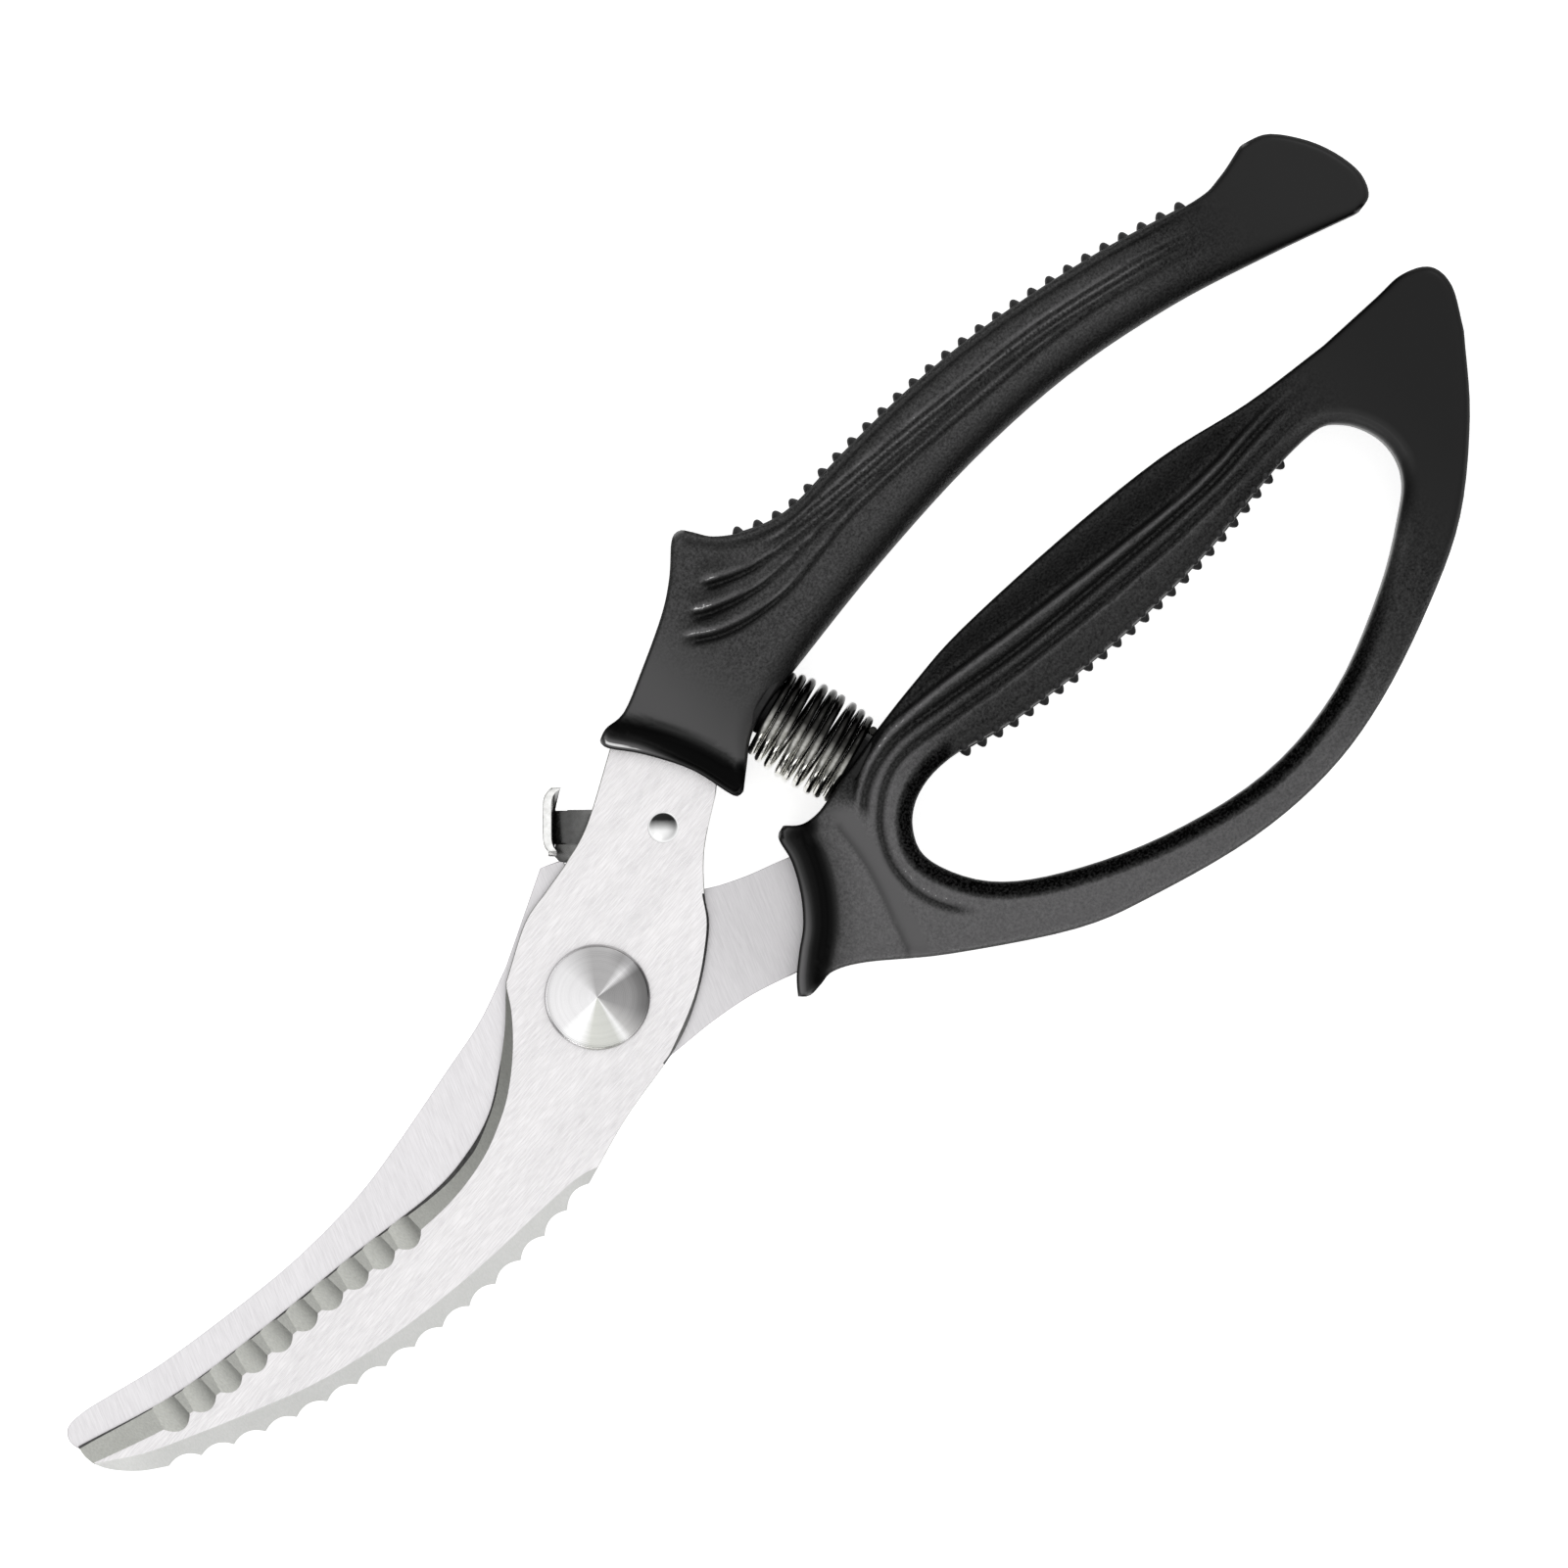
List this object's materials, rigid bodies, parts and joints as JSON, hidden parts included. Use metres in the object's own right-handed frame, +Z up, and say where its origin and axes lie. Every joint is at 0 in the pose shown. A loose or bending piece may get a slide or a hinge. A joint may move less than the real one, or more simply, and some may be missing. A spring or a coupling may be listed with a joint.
{
  "type": "poultry shears",
  "caption": "Sprung poultry shears with curved blades, a fluted and toothed upper blade, a thumb catch, and black moulded handles, one of them a finger loop.",
  "frame": {"origin": "middle of the underside, which rests on the table, with the shears lying flat and closed", "axes": "+X from the blade tips to the handles, +Y towards the straight upper handle, +Z up along the pivot"},
  "size_m": [0.2554, 0.086, 0.017],
  "materials": {
    "blade_steel": "long satin brushing with ground bevels",
    "turned_steel": "face turned, fine rings",
    "pressed_sheet": "tumbled bright",
    "spring_wire": "bright nickel plate",
    "black_plastic": "moulded, fine grain with satin ends",
    "grip_rubber": "matt soft moulding"
  },
  "bodies": {
    "upper_half": {"upper_blade": "blade_steel", "upper_handle": "black_plastic", "upper_grip_strip": "grip_rubber", "upper_spring_cup": "pressed_sheet", "spring": "spring_wire", "pivot_bolt": "turned_steel", "pivot_washer": "pressed_sheet", "pivot_nut": "turned_steel", "latch_rivet": "turned_steel", "latch_washer": "pressed_sheet"},
    "lower_half": {"lower_blade": "blade_steel", "lower_handle": "black_plastic", "lower_grip_strip": "grip_rubber", "lower_spring_cup": "pressed_sheet"},
    "latch_body": {"latch": "pressed_sheet"}
  },
  "joints": [
    {"name": "blade_pivot", "type": "hinge", "parent": "upper_half", "child": "lower_half", "pos_m": [-0.02995, -0.00033, 0.0085], "axis": [0, 0, -1], "range_deg": [0, 30], "stiffness_Nm_per_rad": 0.7, "springref_deg": 40.11, "deforming": ["spring"]},
    {"name": "latch_pivot", "type": "hinge", "parent": "upper_half", "child": "latch_body", "pos_m": [-0.00735, 0.01207, 0.0085], "axis": [0, 0, 1], "range_deg": [-12, 6.5]}
  ]
}
